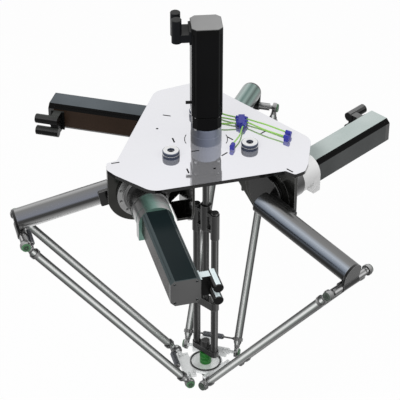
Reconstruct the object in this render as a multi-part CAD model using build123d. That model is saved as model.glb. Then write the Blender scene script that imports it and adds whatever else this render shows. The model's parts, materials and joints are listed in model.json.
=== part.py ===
from build123d import *
import os
from math import asin, atan2, cos, degrees, hypot, radians, sin, sqrt

# A ceiling-hung delta robot: a steel base plate carries three arm drives and a
# vertical wrist drive.  Each drive swings an upper arm, each upper arm pulls a
# ball-jointed pair of rods, and the three pairs carry the tool platform.  A
# telescopic shaft down the middle turns the tool.
# Millimetres.  The origin is on the hanging face, on the wrist axis, with +Z up.
# Every arm is drawn once, in its own frame: X points outward, Y along the
# shoulder axis towards the motor, Z up.

# Driving dimensions of the mechanism
ARM_AZIMUTHS = {"a": -165, "b": -45, "c": 75}
SHOULDER_RADIUS = 219
SHOULDER_DROP = 118
UPPER_ARM = 400
FOREARM = 856
REST_DIP = 17.2
BALL_CIRCLE = 79
ROD_SPACING = 176

# Base plate
PLATE_THICKNESS = 12
LONG_EDGE = 234
SHORT_EDGE = 326
SHORT_EDGE_ANGLE = 38
CORNER_RADIUS = 54
EAR_NOTCH = (296, 45)
EAR_CORNERS = [(330, 51), (338, 86)]
EAR_END = (319, 122)
EAR_RADII = [8, 10, 18, 10]
SLOT_WIDTH = 5
TAB_LENGTH = 26
TAB_SUNK = 3
ADAPTER_SLOT_RADIUS = 67
ADAPTER_SLOT_SPAN = 44
SHAFT_BORE = 32
SENSOR_HOLE = (18, 164)
SENSOR_HOLE_RADIUS = 4

# Hanging standoffs
STANDOFF_HEIGHT = 21
STANDOFF_RADIUS = 22.5
STANDOFF_NECK = 19.5
STANDOFF_NECK_HEIGHT = 5
STANDOFF_BORE = 8.75
STANDOFF_CIRCLE = 143
STANDOFF_ANGLE = 25.7

# Motor brackets
SIDE_PLATE_FACE = 50
SIDE_PLATE_THICKNESS = 12
SIDE_PLATE_INNER = 37
SIDE_PLATE_OUTER = 331
SIDE_PLATE_SHOULDER = 78
SIDE_PLATE_BULGE = (295, 148)
SIDE_PLATE_TURN = (215, 199)
SIDE_PLATE_FOOT = (150, 215)
SIDE_PLATE_INNER_DEPTH = 100
RING_LAND_RADIUS = 95
RING_LAND_HEIGHT = 1.5
RIB_RADIUS = 100
RIB_THICKNESS = 8
RIB_START = -33
RIB_INNER_DEPTH = 88
RIB_OUTER = 224
RIB_BULGE = (200, 126)
RIB_FOOT = (112, 222)
RIB_HEEL = (66, 165)

# Gearbox and motor adapter of an arm
GEARBOX_BORE = 62
GEARBOX_PILOT = 61.7
GEARBOX_PILOT_SUNK = 2
GEARBOX_FLANGE_RADIUS = 85
GEARBOX_FLANGE_THICKNESS = 12
GEARBOX_STEP_RADIUS = 67
GEARBOX_STEP_LENGTH = 12
GEARBOX_RADIUS = 60
GEARBOX_LENGTH = 72
FLANGE_BOLT_CIRCLE = 75
FLANGE_BOLT_COUNT = 12
FLANGE_BOLT_RADIUS = 4.5
FLANGE_BOLT_HEAD = 5
ADAPTER_DRUM_RADIUS = 57
ADAPTER_DRUM_LENGTH = 47
ADAPTER_HALF = 56
ADAPTER_LENGTH = 30

# Motors
ARM_MOTOR_HALF = 45.6
ARM_MOTOR_CHAMFER = 13.6
ARM_MOTOR_LENGTH = 330
MOTOR_CAP_LENGTH = 20
MOTOR_GROOVE = 3
WRIST_MOTOR_HALF = 47.4
WRIST_MOTOR_CHAMFER = 14
WRIST_MOTOR_LENGTH = 248
WRIST_TURN = 5
PLUG_RADIUS = 15.5
PLUG_SPACING = 45
PLUG_OFFSET = 44
PLUG_BODY = 34
PLUG_LENGTH = 44
PLUG_FROM_REAR = 56
PLUG_PAD = 6
PLUG_PAD_LENGTH = 44
PLUG_INSET = 4
PLUG_LIFT = 6
PLUG_SHELF_LIFT = 8
PLUG_RIM = 2
ARM_PLUG_SHIFT = 6.5

# Wrist gearbox stack
WRIST_GEARBOX_RADIUS = 48.5
WRIST_GEARBOX_HEIGHT = 57
WRIST_NECK_RADIUS = 43
WRIST_NECK_HEIGHT = 7
WRIST_FLANGE_HALF = 45
WRIST_FLANGE_HEIGHT = 38
WRIST_WAIST_HEIGHT = 6
WRIST_BLOCK_HEIGHT = 40
KNOB_RADIUS = 5
KNOB_REACH = 16

# Upper arm
HUB_RADIUS = 68
HUB_THICKNESS = 10
HUB_GAP = 3
HUB_SPIGOT_RADIUS = 45
SADDLE_START = 26
SADDLE_END = 136
SADDLE_HALF = 27
SADDLE_DEPTH = 20
TUBE_RADIUS = 35
TUBE_WALL = 4
TUBE_START = 19
TUBE_CLOSURE = 5
END_PLATE = 9
ELBOW_OFFSET = 42
ELBOW_BOSS_RADIUS = 16
CROSS_SHAFT_RADIUS = 12.5
CROSS_SHAFT_HALF = 71
BALL_NECK = 6.5
SEAT_GAP = 0.05

# Ball sockets and rods
SOCKET_RADIUS = 12
SOCKET_OUTER = 17.5
SOCKET_MOUTH = 5
SOCKET_WAIST = 4
SOCKET_BACK = 9
CAP_RADIUS = 14.8
CAP_THICKNESS = 3.8
CAP_RING_OUTER = 11
CAP_RING_INNER = 8
CAP_RING_DEPTH = 1
RUNNING_GAP = 0.3
OPEN_PIVOT_GAP = 3.7
SOCKET_NECK_RADIUS = 8.4
SOCKET_NECK_END = 36
SPIGOT_LENGTH = 20
ROD_RADIUS = 10
ROD_WALL = 2
SPRING_STATION = 45
SPRING_CLAMP_RADIUS = 17
SPRING_CLAMP_WIDTH = 11
SPRING_EYE_RADIUS = 4.5
SPRING_BODY_RADIUS = 8
SPRING_BODY_HALF = 38
SPRING_WIRE_RADIUS = 3

# Telescopic wrist shaft
WRIST_SHAFT_RADIUS = 11.5
COUPLING_RADIUS = 26
COUPLING_DEPTH = 62
COLLAR_DEPTH = 629
COLLAR_HEIGHT = 30
GUIDE_CIRCLE = 40
GUIDE_ANGLE = -43
GUIDE_ROD_RADIUS = 10
GUIDE_ROD_TOP = 262
SLIDE_GAP = 0.06
COLLAR_WALL = 5
BRACKET_TOP = 249
BRACKET_SLEEVE = 96
BRACKET_STAGGER = 22
BRACKET_WEB = 12
BRACKET_BORE_WALL = 6
YOKE_HEIGHT = 22
YOKE_TOP_ABOVE = 70

# Platform
PLATFORM_THICKNESS = 10
PLATFORM_HUB = 58
PLATFORM_BAR_WIDTH = 40
PLATFORM_BAR_HALF = 60
PLATFORM_BAR_SET_IN = 8
PLATFORM_WEB_HALF = 36
STUD_BOSS_RADIUS = 11
STUD_BOSS_END = 66
STUD_BOSS_LENGTH = 20
STUD_RADIUS = 5.5
LUG_HOLE_CIRCLE = 75.5
LUG_HOLE_ANGLE = 41
LUG_HOLE_RADIUS = 3.5
TONGUE_PLACE = (122, 30)
TONGUE_RADIUS = 18
TONGUE_HOLE = 11
TOOL_RING_OUTER = 53
TOOL_RING_INNER = 49
TOOL_RING_HEIGHT = 4
JOINT_RADIUS = 20
JOINT_ABOVE = 46
JOINT_BELOW = 34
JOINT_GROOVE = 1.5
SPINDLE_RADIUS = 9
TOOL_FLANGE_RADIUS = 15
TOOL_FLANGE_DROP = 42
TOOL_BORE = 5

# Air lines on the base plate
AIR_TUBE_RADIUS = 4
AIR_HEIGHT = 12
FITTING_RADIUS = 7
FITTING_LENGTH = 18
MANIFOLD_CENTRE = (113, 89)
MANIFOLD_SIZE = (20, 50)

# Places worked out from the driving dimensions
PLATE_TOP = -STANDOFF_HEIGHT
PLATE_BOTTOM = PLATE_TOP - PLATE_THICKNESS
SHOULDER_Z = PLATE_TOP - SHOULDER_DROP
TUBE_DIP = REST_DIP - degrees(asin(ELBOW_OFFSET / UPPER_ARM))
ELBOW_ALONG = sqrt(UPPER_ARM**2 - ELBOW_OFFSET**2)
TUBE_END = ELBOW_ALONG + 1
ELBOW_X = SHOULDER_RADIUS + UPPER_ARM * cos(radians(REST_DIP))
ELBOW_Z = SHOULDER_Z - UPPER_ARM * sin(radians(REST_DIP))
ROD_DROP = sqrt(FOREARM**2 - (ELBOW_X - BALL_CIRCLE) ** 2)
SOCKET_Z = ELBOW_Z - ROD_DROP
FOREARM_DIP = degrees(atan2(ROD_DROP, BALL_CIRCLE - ELBOW_X))
ROD_Y = ROD_SPACING / 2
GEARBOX_FACE = SIDE_PLATE_FACE + SIDE_PLATE_THICKNESS
ADAPTER_FACE = GEARBOX_FACE + GEARBOX_FLANGE_THICKNESS + GEARBOX_STEP_LENGTH + GEARBOX_LENGTH
MOTOR_FACE = ADAPTER_FACE + ADAPTER_DRUM_LENGTH + ADAPTER_LENGTH
SIDE_PLATE_MIDDLE = SIDE_PLATE_FACE + SIDE_PLATE_THICKNESS / 2

# The lower ball joints are drawn open: the ball is smaller than its socket and
# sits towards the side from which the socket swings away as the arms move.
ELBOW_RATE = 1 + UPPER_ARM * sin(radians(REST_DIP)) / ROD_DROP
SWING_X = -UPPER_ARM * cos(radians(REST_DIP)) + (ELBOW_RATE - 1) ** 2 * (ELBOW_X - BALL_CIRCLE)
SWING_Z = UPPER_ARM * sin(radians(REST_DIP)) + (ELBOW_RATE - 1) ** 2 * ROD_DROP
BALL_SHIFT = (OPEN_PIVOT_GAP - RUNNING_GAP) / hypot(SWING_X, SWING_Z)
STUD_X = BALL_CIRCLE + BALL_SHIFT * SWING_X
STUD_Z = SOCKET_Z + BALL_SHIFT * SWING_Z
PLATFORM_TOP = STUD_Z + PLATFORM_THICKNESS / 2
PLATFORM_BOTTOM = STUD_Z - PLATFORM_THICKNESS / 2

SHOULDER_FRAME = Pos(SHOULDER_RADIUS, 0, SHOULDER_Z)
ARM_FRAME = SHOULDER_FRAME * Rot(0, TUBE_DIP, 0)
FOREARM_FRAME = Pos(ELBOW_X, 0, ELBOW_Z) * Rot(0, FOREARM_DIP, 0)
LOWER_END = Pos(FOREARM, 0, 0) * Rot(0, 180, 0)
ALONG_SHOULDER = Rot(-90, 0, 0)
ALONG_ARM = Rot(0, 90, 0)
GUIDE_PLACES = [Rot(0, 0, GUIDE_ANGLE + turn) * Pos(GUIDE_CIRCLE, 0, 0) for turn in (0, 180)]


def barrel(radius, low, high):
    """A cylinder round Z from one height to another."""
    return Pos(0, 0, low) * Cylinder(radius, high - low, align=(Align.CENTER, Align.CENTER, Align.MIN))


def across(shape, start):
    """Turn a shape drawn up Z to run along the shoulder axis from a start."""
    return Pos(0, start, 0) * ALONG_SHOULDER * shape


def turned(points):
    """A solid of revolution round Z from points of radius and height."""
    return revolve(Plane.XZ * make_face(Polyline(*points, close=True)), Axis.Z)


def block(low, high):
    """A box between two corners."""
    size = [b - a for a, b in zip(low, high)]
    return Pos(*low) * Box(*size, align=(Align.MIN, Align.MIN, Align.MIN))


def rounded_square(half, chamfer, height):
    """A square bar with chamfered corners, standing on Z = 0."""
    bar = extrude(Rectangle(2 * half, 2 * half), height)
    return chamfer_edges(bar, chamfer)


def chamfer_edges(bar, size):
    """Chamfer the edges of a bar that run along Z."""
    return chamfer(bar.edges().filter_by(Axis.Z), size)


def whole(parts):
    """Fuse a list of shapes into one."""
    result = parts[0]
    for piece in parts[1:]:
        result = result + piece
    return result


def save(name, shapes):
    """Write one sub-part, whose pieces stay separate solids."""
    solids = [solid for shape in shapes for solid in shape.solids()]
    body = solids[0] if len(solids) == 1 else Compound(children=solids)
    body.label = name
    export_step(body, os.path.join("parts", name + ".step"))


def tab_slots():
    """Places of the bracket tabs, as middle, turn and length."""
    return [
        ((RIB_RADIUS, 156), 90),
        ((RIB_RADIUS, -20), 90),
        ((303, SIDE_PLATE_MIDDLE), 0),
        ((50, SIDE_PLATE_MIDDLE), 0),
    ]


def plate_sector():
    """Corner points of a third of the plate outline, with their radii."""
    angle = radians(SHORT_EDGE_ANGLE)
    corner_x = (SHORT_EDGE - LONG_EDGE * sin(angle)) / cos(angle)
    points = [EAR_NOTCH, *EAR_CORNERS, EAR_END, (corner_x, LONG_EDGE)]
    return points, [*EAR_RADII, CORNER_RADIUS]


def base_plate():
    points, radii = plate_sector()
    outline = []
    for azimuth in ARM_AZIMUTHS.values():
        turn = Rot(0, 0, azimuth)
        outline += [(turn * Pos(x, y, 0)).position for x, y in points]
    edge = FilletPolyline(*outline, radius=radii * len(ARM_AZIMUTHS), close=True)
    plate = Pos(0, 0, PLATE_BOTTOM) * extrude(make_face(edge), PLATE_THICKNESS)
    cuts = [barrel(SHAFT_BORE, PLATE_BOTTOM, PLATE_TOP)]
    for azimuth in ARM_AZIMUTHS.values():
        turn = Rot(0, 0, azimuth)
        for place, angle in tab_slots():
            slot = Box(TAB_LENGTH, SLOT_WIDTH, PLATE_THICKNESS)
            middle = Pos(*place, PLATE_TOP - PLATE_THICKNESS / 2)
            cuts.append(turn * middle * Rot(0, 0, angle) * slot)
        hole = barrel(SENSOR_HOLE_RADIUS, PLATE_BOTTOM, PLATE_TOP)
        cuts.append(turn * Pos(*SENSOR_HOLE, 0) * hole)
        standoff = turn * Rot(0, 0, STANDOFF_ANGLE) * Pos(STANDOFF_CIRCLE, 0, 0)
        cuts.append(standoff * barrel(STANDOFF_BORE, PLATE_BOTTOM, PLATE_TOP))
    for side in (0, 180):
        arc = CenterArc((0, 0), ADAPTER_SLOT_RADIUS, side - ADAPTER_SLOT_SPAN / 2, ADAPTER_SLOT_SPAN)
        groove = extrude(trace(arc, SLOT_WIDTH / 2), PLATE_THICKNESS)
        cuts.append(Pos(0, 0, PLATE_BOTTOM) * groove)
    for cut in cuts:
        plate = plate - cut
    return [plate]


def standoffs():
    """Three turned pads that meet the frame the robot hangs from."""
    waist = STANDOFF_HEIGHT / 2
    profile = turned([
        (STANDOFF_BORE, 0),
        (STANDOFF_NECK, 0),
        (STANDOFF_RADIUS, -2),
        (STANDOFF_RADIUS, -waist),
        (STANDOFF_NECK, -waist - 1),
        (STANDOFF_NECK, -waist - STANDOFF_NECK_HEIGHT),
        (STANDOFF_RADIUS, -waist - STANDOFF_NECK_HEIGHT - 1),
        (STANDOFF_RADIUS, -STANDOFF_HEIGHT),
        (STANDOFF_BORE, -STANDOFF_HEIGHT),
    ])
    reach = Pos(STANDOFF_CIRCLE, 0, 0)
    return [Rot(0, 0, azimuth + STANDOFF_ANGLE) * reach * profile for azimuth in ARM_AZIMUTHS.values()]


def bracket():
    """Side plate and cross rib of one drive, welded into one piece."""
    top = PLATE_BOTTOM
    level = PLATE_TOP

    def under(point):
        return (point[0], level - point[1])

    side_outline = [
        Polyline(
            under(SIDE_PLATE_TURN),
            under(SIDE_PLATE_FOOT),
            (SIDE_PLATE_INNER, level - SIDE_PLATE_INNER_DEPTH),
            (SIDE_PLATE_INNER, top),
            (SIDE_PLATE_OUTER, top),
            (SIDE_PLATE_OUTER, level - SIDE_PLATE_SHOULDER),
        ),
        ThreePointArc(
            (SIDE_PLATE_OUTER, level - SIDE_PLATE_SHOULDER),
            under(SIDE_PLATE_BULGE),
            under(SIDE_PLATE_TURN),
        ),
    ]
    side = extrude(Plane.XZ * make_face(side_outline), -SIDE_PLATE_THICKNESS)
    side = Pos(0, SIDE_PLATE_FACE, 0) * side
    land = SHOULDER_FRAME * across(barrel(RING_LAND_RADIUS, -RING_LAND_HEIGHT, 0), SIDE_PLATE_FACE)
    rib_outline = [
        Polyline(
            under(RIB_FOOT),
            under(RIB_HEEL),
            (RIB_HEEL[0], level - RIB_INNER_DEPTH),
            (RIB_START, level - RIB_INNER_DEPTH),
            (RIB_START, top),
            (RIB_OUTER, top),
        ),
        ThreePointArc((RIB_OUTER, top), under(RIB_BULGE), under(RIB_FOOT)),
    ]
    rib = extrude(Plane.YZ * make_face(rib_outline), RIB_THICKNESS)
    rib = Pos(RIB_RADIUS - RIB_THICKNESS / 2, 0, 0) * rib
    tabs = []
    for place, angle in tab_slots():
        tab = Box(TAB_LENGTH, SLOT_WIDTH, PLATE_THICKNESS - TAB_SUNK)
        middle = top + (PLATE_THICKNESS - TAB_SUNK) / 2
        tabs.append(Pos(*place, middle) * Rot(0, 0, angle) * tab)
    frame = whole([side, land, rib, *tabs])
    bore = barrel(GEARBOX_BORE, -RING_LAND_HEIGHT, SIDE_PLATE_THICKNESS)
    return [frame - SHOULDER_FRAME * across(bore, SIDE_PLATE_FACE)]


def gearbox():
    """Round gearbox whose flange bolts to the outer face of the side plate."""
    pilot = GEARBOX_PILOT_SUNK - SIDE_PLATE_THICKNESS
    flange = GEARBOX_FLANGE_THICKNESS
    step = flange + GEARBOX_STEP_LENGTH
    end = ADAPTER_FACE - GEARBOX_FACE
    body = turned([
        (0, pilot),
        (GEARBOX_PILOT - 1, pilot),
        (GEARBOX_PILOT, pilot + 1),
        (GEARBOX_PILOT, 0),
        (GEARBOX_FLANGE_RADIUS, 0),
        (GEARBOX_FLANGE_RADIUS, flange - 1),
        (GEARBOX_FLANGE_RADIUS - 1, flange),
        (GEARBOX_STEP_RADIUS, flange),
        (GEARBOX_STEP_RADIUS, step - 4),
        (GEARBOX_RADIUS, step),
        (GEARBOX_RADIUS, end),
        (0, end),
    ])
    head = barrel(FLANGE_BOLT_RADIUS, flange, flange + FLANGE_BOLT_HEAD)
    spread = 360 / FLANGE_BOLT_COUNT
    bolts = [
        Rot(0, 0, (index + 0.5) * spread) * Pos(FLANGE_BOLT_CIRCLE, 0, 0) * head
        for index in range(FLANGE_BOLT_COUNT)
    ]
    return [SHOULDER_FRAME * across(piece, GEARBOX_FACE) for piece in (body, *bolts)]


def motor_adapter():
    """Drum and arched block between gearbox and motor."""
    drum = barrel(ADAPTER_DRUM_RADIUS, 0, ADAPTER_DRUM_LENGTH)
    low_half = Pos(0, ADAPTER_HALF / 2, 0) * Rectangle(2 * ADAPTER_HALF, ADAPTER_HALF)
    arch = extrude(low_half + Circle(ADAPTER_HALF), ADAPTER_LENGTH)
    arch = Pos(0, 0, ADAPTER_DRUM_LENGTH) * arch
    return [SHOULDER_FRAME * across(drum + arch, ADAPTER_FACE)]


def motor_profile(half, chamfer_size, length):
    """Chamfered square motor housing with a groove down each chamfer."""
    body = rounded_square(half, chamfer_size, length)
    reach = (half - chamfer_size / 2) * sqrt(2)
    groove = Box(MOTOR_GROOVE, MOTOR_GROOVE, 2 * length)
    for turn in range(45, 360, 90):
        body = body - Rot(0, 0, turn) * Pos(reach, 0, 0) * groove
    return body


def motor_cap_profile(half, chamfer_size):
    """Rear cap with a small bevel round its end face."""
    cap = rounded_square(half, chamfer_size, MOTOR_CAP_LENGTH)
    return chamfer(cap.faces().sort_by(Axis.Z)[-1].edges(), 1.5)


def plugs(half, length, shift):
    """Two angled connectors on the -X side near the rear of a motor."""
    start = length - PLUG_FROM_REAR
    middle = -half - PLUG_OFFSET
    width = PLUG_SPACING + 2 * PLUG_RADIUS
    low = shift - width / 2
    pad = block(
        (-half - PLUG_PAD, low + PLUG_INSET, start),
        (-half, low + width - PLUG_INSET, start + PLUG_PAD_LENGTH),
    )
    shelf = block(
        (middle, low + PLUG_INSET, start + PLUG_SHELF_LIFT),
        (-half - PLUG_PAD, low + width - PLUG_INSET, start + PLUG_BODY),
    )
    heads = []
    for side in (-1, 1):
        head = turned([
            (0, 0),
            (PLUG_RADIUS, 0),
            (PLUG_RADIUS, PLUG_BODY + PLUG_LENGTH - PLUG_RIM),
            (PLUG_RADIUS - PLUG_RIM, PLUG_BODY + PLUG_LENGTH),
            (0, PLUG_BODY + PLUG_LENGTH),
        ])
        heads.append(Pos(middle, shift + side * PLUG_SPACING / 2, start + PLUG_LIFT) * head)
    return [whole([pad, shelf, *heads])]


def arm_motor():
    body = motor_profile(ARM_MOTOR_HALF, ARM_MOTOR_CHAMFER, ARM_MOTOR_LENGTH)
    return [SHOULDER_FRAME * across(body, MOTOR_FACE)]


def arm_motor_cap():
    cap = motor_cap_profile(ARM_MOTOR_HALF, ARM_MOTOR_CHAMFER)
    return [SHOULDER_FRAME * across(cap, MOTOR_FACE + ARM_MOTOR_LENGTH)]


def arm_motor_plugs():
    pieces = plugs(ARM_MOTOR_HALF, ARM_MOTOR_LENGTH + MOTOR_CAP_LENGTH, ARM_PLUG_SHIFT)
    return [SHOULDER_FRAME * across(piece, MOTOR_FACE) for piece in pieces]


def arm_hub():
    """Drive disc with a saddle that grips the side of the arm tube."""
    face = SIDE_PLATE_FACE - RING_LAND_HEIGHT - HUB_GAP
    inner = face - HUB_THICKNESS
    disc = across(turned([
        (0, 0),
        (HUB_RADIUS - 1.5, 0),
        (HUB_RADIUS, 1.5),
        (HUB_RADIUS, HUB_THICKNESS),
        (0, HUB_THICKNESS),
    ]), inner)
    spigot_end = GEARBOX_FACE - SIDE_PLATE_THICKNESS + GEARBOX_PILOT_SUNK - RUNNING_GAP
    spigot = across(barrel(HUB_SPIGOT_RADIUS, 0, spigot_end - face), face)
    saddle = block(
        (SADDLE_START, TUBE_RADIUS - SADDLE_DEPTH, -SADDLE_HALF),
        (SADDLE_END, inner, SADDLE_HALF),
    )
    saddle = fillet(saddle.edges().filter_by(Axis.Y), 6)
    groove = ALONG_ARM * barrel(TUBE_RADIUS + SEAT_GAP, 0, UPPER_ARM)
    return [ARM_FRAME * (disc + spigot + (saddle - groove))]


def upper_arm_tube():
    """Tube closed at its inner end and coped over the elbow boss at the other."""
    tube = barrel(TUBE_RADIUS, TUBE_START, TUBE_END)
    bore = barrel(TUBE_RADIUS - TUBE_WALL, TUBE_START + TUBE_CLOSURE, TUBE_END)
    cope = across(barrel(ELBOW_BOSS_RADIUS + SEAT_GAP, -TUBE_RADIUS, TUBE_RADIUS), 0)
    tube = ALONG_ARM * (tube - bore) - Pos(ELBOW_ALONG, 0, -ELBOW_OFFSET) * cope
    return [ARM_FRAME * tube]


def elbow_end_plate():
    """Arched plate on the tube's end with a boss for the cross shaft."""
    skirt = Pos(ELBOW_OFFSET / 2, 0) * Rectangle(ELBOW_OFFSET, 2 * TUBE_RADIUS)
    plate = extrude(Circle(TUBE_RADIUS) + skirt, END_PLATE)
    plate = Pos(TUBE_END, 0, 0) * ALONG_ARM * plate
    axis = Pos(ELBOW_ALONG, 0, -ELBOW_OFFSET)
    boss = axis * across(barrel(ELBOW_BOSS_RADIUS, -TUBE_RADIUS, TUBE_RADIUS), 0)
    bore = axis * across(barrel(CROSS_SHAFT_RADIUS + SEAT_GAP, -TUBE_RADIUS, TUBE_RADIUS), 0)
    return [ARM_FRAME * (plate + boss - bore)]


def elbow_cross_shaft():
    """Shaft across the arm's end with a ball on each end."""
    ball = SOCKET_RADIUS - RUNNING_GAP
    shaft = across(barrel(CROSS_SHAFT_RADIUS, -CROSS_SHAFT_HALF, CROSS_SHAFT_HALF), 0)
    necks = across(barrel(BALL_NECK, -ROD_Y, ROD_Y), 0)
    shaft = shaft + necks
    for side in (-1, 1):
        shaft = shaft + Pos(0, side * ROD_Y, 0) * Sphere(ball)
    return [ARM_FRAME * Pos(ELBOW_ALONG, 0, -ELBOW_OFFSET) * shaft]


def rod_ends(shape):
    """Copies of an end piece at both ends of both rods."""
    places = []
    for end in (Pos(0, 0, 0), LOWER_END):
        places.append(FOREARM_FRAME * end * shape)
        places.append(FOREARM_FRAME * end * mirror(shape, Plane.XZ))
    return places


def socket():
    """Socket shell, drawn round Y at the far rod, with its neck along +X."""
    opening = sqrt(SOCKET_RADIUS**2 - SOCKET_MOUTH**2)
    shell = across(turned([
        (0, -SOCKET_MOUTH),
        (SOCKET_OUTER, -SOCKET_MOUTH),
        (SOCKET_OUTER, SOCKET_WAIST),
        (CAP_RADIUS, SOCKET_BACK),
        (0, SOCKET_BACK),
    ]), ROD_Y)
    neck = ALONG_ARM * turned([
        (0, 4),
        (SOCKET_NECK_RADIUS, 4),
        (SOCKET_NECK_RADIUS, SOCKET_OUTER),
        (ROD_RADIUS, SOCKET_OUTER + 2),
        (ROD_RADIUS, SOCKET_NECK_END),
        (ROD_RADIUS - ROD_WALL - SEAT_GAP, SOCKET_NECK_END),
        (ROD_RADIUS - ROD_WALL - SEAT_GAP, SOCKET_NECK_END + SPIGOT_LENGTH),
        (0, SOCKET_NECK_END + SPIGOT_LENGTH),
    ])
    shape = shell + Pos(0, ROD_Y, 0) * neck
    shape = shape - Pos(0, ROD_Y, 0) * Sphere(SOCKET_RADIUS)
    return shape - across(barrel(opening, 0, ROD_Y), 0)


def socket_shells():
    return rod_ends(socket())


def socket_caps():
    """Round caps that close the backs of the sockets, with a ring groove."""
    floor = CAP_THICKNESS - CAP_RING_DEPTH
    cap = turned([
        (0, 0),
        (CAP_RADIUS, 0),
        (CAP_RADIUS, CAP_THICKNESS / 2),
        (CAP_RADIUS - 1, CAP_THICKNESS),
        (CAP_RING_OUTER, CAP_THICKNESS),
        (CAP_RING_OUTER, floor),
        (CAP_RING_INNER, floor),
        (CAP_RING_INNER, CAP_THICKNESS),
        (0, CAP_THICKNESS),
    ])
    cap = across(cap, ROD_Y + SOCKET_BACK) - Pos(0, ROD_Y, 0) * Sphere(SOCKET_RADIUS)
    return rod_ends(cap)


def forearm_rods():
    tube = barrel(ROD_RADIUS, SOCKET_NECK_END, FOREARM - SOCKET_NECK_END)
    tube = tube - barrel(ROD_RADIUS - ROD_WALL, SOCKET_NECK_END, FOREARM - SOCKET_NECK_END)
    return [FOREARM_FRAME * Pos(0, side * ROD_Y, 0) * ALONG_ARM * tube for side in (-1, 1)]


def rod_springs():
    """Spring units that pull the two rods of a pair onto their balls."""
    clamp = ALONG_ARM * barrel(SPRING_CLAMP_RADIUS, -SPRING_CLAMP_WIDTH / 2, SPRING_CLAMP_WIDTH / 2)
    seat = ALONG_ARM * barrel(ROD_RADIUS + SEAT_GAP, -SPRING_CLAMP_WIDTH, SPRING_CLAMP_WIDTH)
    inner = ROD_Y - ROD_RADIUS - SEAT_GAP
    half = turned([
        (0, 0),
        (SPRING_BODY_RADIUS, 0),
        (SPRING_BODY_RADIUS, SPRING_BODY_HALF - 2),
        (SPRING_BODY_RADIUS - 2, SPRING_BODY_HALF),
        (SPRING_WIRE_RADIUS, SPRING_BODY_HALF),
        (SPRING_WIRE_RADIUS, inner - 10),
        (SPRING_EYE_RADIUS, inner - 9),
        (SPRING_EYE_RADIUS, inner - 1),
        (0, inner - 1),
    ])
    half = across(half, 0) + (Pos(0, ROD_Y, 0) * clamp)
    half = half - Pos(0, ROD_Y, 0) * seat
    unit = half + mirror(half, Plane.XZ)
    ends = [Pos(SPRING_STATION, 0, 0), LOWER_END * Pos(SPRING_STATION, 0, 0)]
    return [FOREARM_FRAME * end * unit for end in ends]


def wrist_gearbox():
    """Round gearbox that stands on the base plate."""
    groove = WRIST_GEARBOX_HEIGHT / 2
    return [turned([
        (0, PLATE_TOP),
        (WRIST_GEARBOX_RADIUS, PLATE_TOP),
        (WRIST_GEARBOX_RADIUS, PLATE_TOP + groove),
        (WRIST_GEARBOX_RADIUS - 1, PLATE_TOP + groove + 1),
        (WRIST_GEARBOX_RADIUS - 1, PLATE_TOP + WRIST_GEARBOX_HEIGHT - 2),
        (WRIST_GEARBOX_RADIUS - 3, PLATE_TOP + WRIST_GEARBOX_HEIGHT),
        (0, PLATE_TOP + WRIST_GEARBOX_HEIGHT),
    ])]


WRIST_NECK_Z = PLATE_TOP + WRIST_GEARBOX_HEIGHT
WRIST_FLANGE_Z = WRIST_NECK_Z + WRIST_NECK_HEIGHT
WRIST_WAIST_Z = WRIST_FLANGE_Z + WRIST_FLANGE_HEIGHT
WRIST_BLOCK_Z = WRIST_WAIST_Z + WRIST_WAIST_HEIGHT
WRIST_MOTOR_Z = WRIST_BLOCK_Z + WRIST_BLOCK_HEIGHT
WRIST_CAP_Z = WRIST_MOTOR_Z + WRIST_MOTOR_LENGTH
WRIST_FRAME = Rot(0, 0, WRIST_TURN)


def wrist_flange():
    """Coupling housing between gearbox and motor, with its clamping knob."""
    neck = barrel(WRIST_NECK_RADIUS, WRIST_NECK_Z, WRIST_FLANGE_Z)
    flange = Pos(0, 0, WRIST_FLANGE_Z) * rounded_square(
        WRIST_FLANGE_HALF, WRIST_MOTOR_CHAMFER, WRIST_FLANGE_HEIGHT
    )
    waist = barrel(WRIST_NECK_RADIUS, WRIST_WAIST_Z, WRIST_BLOCK_Z)
    upper = Pos(0, 0, WRIST_BLOCK_Z) * rounded_square(
        WRIST_MOTOR_HALF, WRIST_MOTOR_CHAMFER, WRIST_BLOCK_HEIGHT
    )
    knob_z = WRIST_BLOCK_Z + WRIST_BLOCK_HEIGHT - 2 * KNOB_RADIUS
    knob = Rot(0, -90, 0) * barrel(KNOB_RADIUS, 0, WRIST_MOTOR_HALF + KNOB_REACH)
    return [WRIST_FRAME * whole([neck, flange, waist, upper, Pos(0, 0, knob_z) * knob])]


def wrist_motor():
    body = motor_profile(WRIST_MOTOR_HALF, WRIST_MOTOR_CHAMFER, WRIST_MOTOR_LENGTH)
    return [WRIST_FRAME * Pos(0, 0, WRIST_MOTOR_Z) * body]


def wrist_motor_cap():
    cap = motor_cap_profile(WRIST_MOTOR_HALF, WRIST_MOTOR_CHAMFER)
    return [WRIST_FRAME * Pos(0, 0, WRIST_CAP_Z) * cap]


def wrist_motor_plugs():
    pieces = plugs(WRIST_MOTOR_HALF, WRIST_MOTOR_LENGTH + MOTOR_CAP_LENGTH, 0)
    return [WRIST_FRAME * Pos(0, 0, WRIST_MOTOR_Z) * piece for piece in pieces]


def wrist_shaft():
    """Coupling under the plate and the long tube that turns the tool."""
    top = PLATE_TOP - RUNNING_GAP
    low = PLATE_TOP - COUPLING_DEPTH
    end = PLATE_TOP - COLLAR_DEPTH - COLLAR_HEIGHT
    return [turned([
        (0, top),
        (COUPLING_RADIUS, top),
        (COUPLING_RADIUS, low + 4),
        (COUPLING_RADIUS - 4, low),
        (WRIST_SHAFT_RADIUS, low - 12),
        (WRIST_SHAFT_RADIUS, end),
        (0, end),
    ])]


def guide_link(radius, height):
    """Flat link that joins the two guide rods past the shaft."""
    rims = [place * Circle(radius) for place in GUIDE_PLACES]
    return extrude(make_hull([edge for rim in rims for edge in rim.edges()]), height)


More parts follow.
